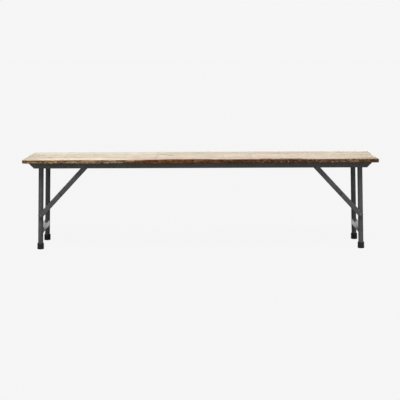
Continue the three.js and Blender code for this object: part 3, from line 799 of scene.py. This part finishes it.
def tubeLeg(radius, bottom):
    lip = legs["lip"] * mm
    bore = radius - legs["wall"] * mm
    edge = radius - lip
    rings = []
    # radius and height; the top is cut round about the pivot, as far out as the third number says
    for r, height, cut in (
        (radius, bottom + lip, None), (radius, bottom / 2, None), (radius, -radius * 1.5, None),
        (radius, -lip, radius), (radius - lip * 0.3, -lip * 0.3, radius), (edge, 0.0, edge),
        (bore + lip * 0.5, 0.0, edge), (bore, -lip, edge),
        (bore, bottom + lip, None), (bore + lip * 0.5, bottom, None), (edge, bottom, None),
    ):
        rings.append([
            (r * x, r * y, height + (math.sqrt(max(0.0, radius ** 2 - (cut * x) ** 2)) if cut else 0.0))
            for x, y in circle(1, legs["sides"])
        ])
    return facedOut(ringsMesh(rings, True))


# Feet: moulded cups, near straight, with a soft shoulder, fine grooves and a slight rim at the floor
feet = {
    "height": 28.0, "top": 14.9, "rim": 15.3, "rimHeight": 6.0, "edge": 1.6, "shoulder": 2.2,
    "sole": 5.0, "play": 0.15, "sides": 96,
    "grooves": 3, "grooveStart": 3.0, "groovePitch": 4.6, "grooveDepth": 0.35,
}


def footMesh(radius, drop, matrix):
    height, top, rim, rimHeight = (feet[key] for key in ("height", "top", "rim", "rimHeight"))
    edge, shoulder = feet["edge"], feet["shoulder"]
    bore = radius / mm + feet["play"]
    # radius and height above the floor, which cuts the lowest part off
    profile = [(0, -2), (rim - edge, -2)] + arc(rim - edge, edge, edge, -90, 0, 4)
    profile += [(rim, rimHeight - 0.4), (rim - 0.2, rimHeight - 0.1), (top, rimHeight + 0.2)]
    for k in range(feet["grooves"]):
        z = rimHeight + feet["grooveStart"] + feet["groovePitch"] * k
        profile += [(top, z), (top - feet["grooveDepth"], z + 0.5), (top, z + 1)]
    profile += arc(top - shoulder, height - shoulder, shoulder, 0, 90, 5)
    profile += [(bore + 0.4, height), (bore, height - 0.5), (bore, feet["sole"]), (0, feet["sole"])]
    bm = bmesh.new()
    line = [bm.verts.new((r * mm, 0, z * mm - drop)) for r, z in profile]
    edges = [bm.edges.new(pair) for pair in zip(line, line[1:])]
    bmesh.ops.spin(bm, geom=line + edges, cent=(0, 0, 0), axis=(0, 0, 1), angle=2 * math.pi,
                   steps=feet["sides"], use_merge=True)
    bmesh.ops.remove_doubles(bm, verts=bm.verts, dist=0.01 * mm)
    bmesh.ops.recalc_face_normals(bm, faces=bm.faces)
    bm.transform(matrix)
    everything = bm.verts[:] + bm.edges[:] + bm.faces[:]
    cut = bmesh.ops.bisect_plane(bm, geom=everything, plane_co=(0, 0, 0), plane_no=(0, 0, -1),
                                 clear_outer=True)
    opened = [item for item in cut["geom_cut"] if isinstance(item, bmesh.types.BMEdge)]
    bmesh.ops.holes_fill(bm, edges=opened, sides=0)
    bmesh.ops.recalc_face_normals(bm, faces=bm.faces)
    return fromBmesh(bm)


for end, row in corners:
    body, corner = end + "_leg_frame", f"{end}_{row}"
    radius, axisY, drop = legMeasures(end, row)
    matrix = legMatrix(end) @ Matrix.Translation((0, rows[row] * ends[end] * axisY, 0))
    braceReach = flatDistance(pivots[body], pivots[corner + "_lower_arm"])
    leg = tubeLeg(radius, legs["sole"] * mm - drop)
    leg = drilled(leg, [(0, 0), (0, -braceReach)], legs["hole"], radius + 5 * mm)
    leg.transform(matrix)
    addPiece(corner + "_leg_tube", leg, body, enamel, [corner + "_leg"])
    foot = footMesh(radius, drop, matrix)
    addPiece(corner + "_foot_cup", foot, body, footRubber, [corner + "_foot"])
for end in ends:
    node = end + "_stretcher"
    mesh = softened(node, steelwork["stretcherEdge"])
    addPiece(node + "_tube", mesh, end + "_leg_frame", tubeSteel, [node])
print("leg frames made")

# Brace arms: sheared flat bar with broken edges, drilled at both ends
arms = {
    "width": 22.0, "thickness": 4.0, "gap": 0.3, "edge": 0.55, "hole": 4.25,  # millimetres
    "cornerRound": 4.0, "lug": 28.0, "tab": 14.0, "tabThickness": 3.2, "tabRound": 0.3,
    "notchNear": 4.0, "notchFar": 34.0, "notchDepth": 3.5,
    "bluntEnd": 0.68,  # a share of the end's rounding
}
halfArm = arms["width"] * mm / 2


def armPlate(outline, length, side, inner, outer):
    plate = beveled(prismAlongY(outline, *sorted((side * inner, side * outer))), arms["edge"])
    return drilled(plate, [(0, 0), (length, 0)], arms["hole"], outer + mm)


def upperArm(length, side, inner, outer):  # in the layer outside the lower arm's
    reach = length + arms["lug"] * mm
    radius = arms["cornerRound"] * mm
    outline = arc(0, 0, halfArm, 90, 270) + [(reach, halfArm)]
    outline[-1:-1] = arc(reach - radius, radius - halfArm, radius, -90, 0, 6)
    own = outer + arms["gap"] * mm
    plate = armPlate(outline, length, side, own, own + arms["thickness"] * mm)
    # the stop tab is bent in from the arm's edge, over the lower arm's notch
    under, soft, root = halfArm - arms["tabThickness"] * mm, arms["tabRound"] * mm, own + 2 * mm
    section = [(root, under), (inner + soft, under), (inner, under + soft), (inner, halfArm - soft),
               (inner + soft, halfArm), (root, halfArm)]
    rings = [[(x, side * y, z) for y, z in section] for x in (reach - arms["tab"] * mm, reach)]
    return joined([plate, facedOut(ringsMesh(rings))])


def lowerArm(length, side, inner, outer):  # with a notch that takes the tab
    near, far = length - arms["notchNear"] * mm, length - arms["notchFar"] * mm
    depth = arms["notchDepth"] * mm
    outline = [(x * arms["bluntEnd"], z) for x, z in arc(0, 0, halfArm, 90, 270)]
    outline += arc(far - depth, depth - halfArm, depth, -90, 0, 6)
    outline += arc(near + depth, depth - halfArm, depth, 180, 262, 6)
    outline += arc(length, 0, halfArm, -72, 90)
    return armPlate(outline, length, side, inner, outer)


for end, row in corners:
    corner = f"{end}_{row}"
    upperPivot, lowerPivot = pivots[corner + "_upper_arm"], pivots[corner + "_lower_arm"]
    slope = math.atan2(upperPivot.z - lowerPivot.z, abs(lowerPivot.x) - abs(upperPivot.x))
    elbow = sum(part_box(corner + "_elbow_rivet"), Vector()) / 2
    layer = sorted(abs(bound.y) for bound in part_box(corner + "_lower_brace_arm"))
    for part, makeArm, angle in (("upper", upperArm, slope), ("lower", lowerArm, slope - math.pi)):
        body, name = f"{corner}_{part}_arm", f"{corner}_{part}_brace"
        mesh = makeArm(flatDistance(pivots[body], elbow), rows[row] * ends[end], *layer)
        mesh.transform(hungFrom(body, angle))
        addPiece(name, mesh, body, enamel, [name + "_arm"])
print("braces made")

# Looks of the CAD pieces that keep their shape
for end, row in corners:
    for part, look in (("elbow_rivet", enamel), ("leg_bush", headedSteel)):
        for slot in frame["nodes"][f"{end}_{row}_{part}"].material_slots:
            slot.material = look


# Rivets, screws and weld beads, laid out by Geometry Nodes
def newTree(name, values):  # with a named input for each value
    tree = bpy.data.node_groups.new(name, "GeometryNodeTree")
    tree.interface.new_socket("Geometry", in_out="INPUT", socket_type="NodeSocketGeometry")
    for label, value in values.items():
        kind = {float: "NodeSocketFloat", int: "NodeSocketInt"}.get(type(value), "NodeSocketMaterial")
        tree.interface.new_socket(label, in_out="INPUT", socket_type=kind).default_value = value
    tree.interface.new_socket("Geometry", in_out="OUTPUT", socket_type="NodeSocketGeometry")
    return tree, partial(addNode, tree), addNode(tree, "NodeGroupInput").outputs


def endTree(tree, geometry, material):
    solid = addNode(tree, "GeometryNodeRealizeInstances", geometry)
    addNode(tree, "NodeGroupOutput", addNode(tree, "GeometryNodeSetMaterial", solid, Material=material))
    return tree


def grown(seeds, tree, values):  # the tree's result on the seeds, as a plain mesh
    draft = asDraft(seeds)
    modifier = draft.modifiers.new("grow", "NODES")
    modifier.node_group = tree
    for item in tree.interface.items_tree:
        if item.in_out == "INPUT" and item.name in values:
            modifier[item.identifier] = values[item.name]
    return facedOut(applied(draft))


def inMetres(sizes):
    return {label: size * mm for label, size in sizes.items()}


rivets = {
    "sizes": {"Head radius": 6.6, "Head height": 2.8, "Pin radius": 4.0, "Dent": 0.12},  # millimetres
    "sides": 40, "fullness": 0.8, "dentScale": 1.6,  # a lower fullness makes a blunter dome
    "flush": 0.02,  # share of its height that a flush tail keeps
}
rivetValues = {**inMetres(rivets["sizes"]), "Sides": rivets["sides"], "Material": headedSteel}


def rivetTree():
    tree, add, entry = newTree("rivets", rivetValues)
    # a ball with its lower half pressed flat and its upper half made a dented dome
    ball = add("GeometryNodeMeshUVSphere", entry["Sides"], 20, 1.0)
    place = add("GeometryNodeInputPosition")
    x, y, z = add("SeparateXYZ", place).outputs
    full = add("Math", add("Math", z, 0.0, operation="MAXIMUM"), rivets["fullness"], operation="POWER")
    dent = add("Math", add("TexNoise", place, rivets["dentScale"], 1.0), entry["Dent"], **times)
    dented = add("Math", add("Math", full, entry["Head height"], **times), dent, operation="SUBTRACT")
    flat = [add("Math", side, entry["Head radius"], **times) for side in (x, y)]
    shaped = add("CombineXYZ", *flat, add("Math", dented, 0.0, operation="MAXIMUM"))
    dome = add("GeometryNodeSetPosition", ball, Position=shaped)

    outward = add("GeometryNodeInputNamedAttribute", "outward", data_type="FLOAT_VECTOR")
    span, tail = (add("GeometryNodeInputNamedAttribute", key) for key in ("span", "tail"))
    inward = add("VectorMath", outward, -1.0, operation="SCALE")
    facing, backing = (
        add("FunctionNodeAlignRotationToVector", Vector=way, axis="Z") for way in (outward, inward)
    )
    heads = add("GeometryNodeInstanceOnPoints", entry["Geometry"], Instance=dome, Rotation=facing)
    offset = add("VectorMath", inward, span, operation="SCALE")
    farEnds = add("GeometryNodeSetPosition", entry["Geometry"], Offset=offset)
    tails = add("GeometryNodeInstanceOnPoints", farEnds, Instance=dome, Rotation=backing,
                Scale=add("CombineXYZ", 1.0, 1.0, tail))
    pin = add("GeometryNodeMeshCylinder", entry["Sides"], Radius=entry["Pin radius"], Depth=1.0)
    lifted = add("GeometryNodeTransform", pin, Translation=(0, 0, -0.5))
    pins = add("GeometryNodeInstanceOnPoints", entry["Geometry"], Instance=lifted, Rotation=facing,
               Scale=add("CombineXYZ", 1.0, 1.0, span))
    return endTree(tree, add("GeometryNodeJoinGeometry", (heads, tails, pins)), entry["Material"])


rivetNodes = rivetTree()


def rivetSeed(node, flushTail):  # outer seat, direction, length and tail, read from the node's box
    low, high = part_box(node)
    out = 1 if high.y > 0 else -1
    head = rivetValues["Head height"]
    near, far = sorted((abs(low.y), abs(high.y)))
    seat = ((low.x + high.x) / 2, out * (far - head), (low.z + high.z) / 2)
    span = far - near - head * (1 if flushTail else 2)
    return seat, (0, out, 0), span, rivets["flush"] if flushTail else 1.0


def makeRivets(name, body, nodes, finish, flushed=()):
    seats, outward, span, tail = zip(*(rivetSeed(node, node in flushed) for node in nodes))
    seeds = marked(meshFrom(seats, []), outward=outward, span=span, tail=tail)
    addPiece(name, grown(seeds, rivetNodes, rivetValues), body, finish, nodes)


legRivets, railRivets = (
    [f"{end}_{row}_{kind}_rivet" for end, row in corners] for kind in ("leg", "rail")
)
makeRivets("rail_and_leg_rivets", "frame", legRivets + railRivets, railTintAndShadeEnamel, railRivets)
for end in ends:
    braceRivets = [f"{end}_{row}_brace_rivet" for row in rows]
    makeRivets(end + "_brace_rivets", end + "_leg_frame", braceRivets, headedSteel)

screws = {  # millimetres; the length is the shank's
    "Head radius": 4.4, "Shank radius": 2.1, "Head depth": 2.6, "Length": 11.4,
    "Recess reach": 3.0, "Recess width": 0.8, "Recess depth": 1.3,
}
screwValues = {**inMetres(screws), "Material": zincSteel}


def screwTree():
    tree, add, entry = newTree("screws", screwValues)
    head = add("GeometryNodeMeshCone", 40, Radius_Top=entry["Shank radius"],
               Radius_Bottom=entry["Head radius"], Depth=entry["Head depth"])
    reach = add("Math", entry["Recess reach"], 2.0, **times)
    slots = []
    # the depths are unlike, so that the two floors don't share a plane
    for sides, depths in (((reach, entry["Recess width"]), 2.0), ((entry["Recess width"], reach), 2.1)):
        deep = add("Math", entry["Recess depth"], depths, **times)
        slots.append(add("GeometryNodeMeshCube", add("CombineXYZ", *sides, deep)))
    cut = add("GeometryNodeMeshBoolean", head, tuple(slots), operation="DIFFERENCE")
    shank = add("GeometryNodeMeshCylinder", 24, Radius=entry["Shank radius"], Depth=entry["Length"])
    above = add("Math", entry["Length"], 0.5, entry["Head depth"], **timesPlus)
    raised = add("GeometryNodeTransform", shank, Translation=add("CombineXYZ", Z=above))
    both = add("GeometryNodeJoinGeometry", (cut, raised))
    turn = add("FunctionNodeRandomValue", 0.0, math.pi, Seed=4)
    driven = add("GeometryNodeInstanceOnPoints", entry["Geometry"], Instance=both,
                 Rotation=add("CombineXYZ", Z=turn))
    return endTree(tree, driven, entry["Material"])


screwNames = sorted(name for name in frame["nodes"] if "_screw_" in name)
screwPlaces = []
for name in screwNames:
    low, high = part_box(name)
    screwPlaces.append(((low.x + high.x) / 2, (low.y + high.y) / 2, low.z))
screwMesh = grown(meshFrom(screwPlaces, []), screwTree(), screwValues)
addPiece("seat_screws", screwMesh, "frame", zincSteel, screwNames)
print("rivets and screws made")

# Weld beads: rows of overlapping ripples along each joint
welds = {
    "sizes": {"Bead radius": 1.9, "Pitch": 1.5}, "shares": {"Flatten": 0.7, "Spread": 0.16},
    "halfTube": 12.5, "offLeg": 0.5, "cornerIn": 1.3, "cornerReach": 6.4,  # millimetres
}
weldValues = {**inMetres(welds["sizes"]), **welds["shares"], "Material": beadSteel}


def weldTree():
    tree, add, entry = newTree("welds", weldValues)
    path = add("GeometryNodeMeshToCurve", entry["Geometry"])
    spaced = add("GeometryNodeResampleCurve", path, Length=entry["Pitch"], mode="LENGTH")
    ball = add("GeometryNodeMeshIcoSphere", entry["Bead radius"], 2)
    low, high = (add("Math", 1.0, entry["Spread"], operation=kind) for kind in ("SUBTRACT", "ADD"))
    size = add("FunctionNodeRandomValue", low, high, Seed=11)
    scale = add("CombineXYZ", size, size, add("Math", size, entry["Flatten"], **times))
    ripples = add("GeometryNodeInstanceOnPoints", spaced, Instance=ball, Scale=scale)
    return endTree(tree, ripples, entry["Material"])


weldNodes = weldTree()


def makeWelds(name, paths, body, finish):
    points, edges = [], []
    for path in paths:
        edges += [(len(points) + k, len(points) + k + 1) for k in range(len(path) - 1)]
        points += path
    beads = grown(meshFrom(points, [], edges), weldNodes, weldValues)
    addPiece(name, beads, body, finish)


def stretcherPaths(end):  # round each end of the stretcher, where it meets a leg
    radius, axisY, _ = legMeasures(end, "front")
    reach = radius + welds["offLeg"] * mm
    half = welds["halfTube"] * mm
    inner = half - welds["cornerIn"] * mm
    matrix = legMatrix(end)
    centre = matrix.inverted() @ (sum(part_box(end + "_stretcher"), Vector()) / 2)
    # over the top, then back beneath; the tube's half width is 1
    over = [(-1, 0), (-1, 0.5), (-1, 1), (-0.6, 1), (-0.3, 1), (0, 1), (0.3, 1), (0.6, 1), (1, 1),
            (1, 0.5), (1, 0)]
    beneath = [(x, -z) for x, z in reversed(over[:-1])]
    paths = []
    for side in (-1, 1):
        path = []
        for x, z in over + beneath:
            beadX = max(-inner, min(inner, x * half))
            away = math.sqrt(max(reach ** 2 - beadX ** 2, (welds["cornerReach"] * mm) ** 2))
            bead = Vector((centre.x + beadX, side * (axisY - away), centre.z + z * half))
            path.append(tuple(matrix @ bead))
        paths.append(path)
    return paths


for end in ends:
    paths = stretcherPaths(end)
    makeWelds(end + "_stretcher_welds", paths, end + "_leg_frame", beadSteel)
barPaths = []
for bar in barNames:
    low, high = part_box(bar)
    z = low.z - 0.1 * mm
    barPaths += [[(low.x + mm, y, z), (high.x - mm, y, z)] for y in (low.y - 0.15 * mm, high.y + 0.15 * mm)]
makeWelds("cross_bar_welds", barPaths, "frame", enamel)
print("welds made")
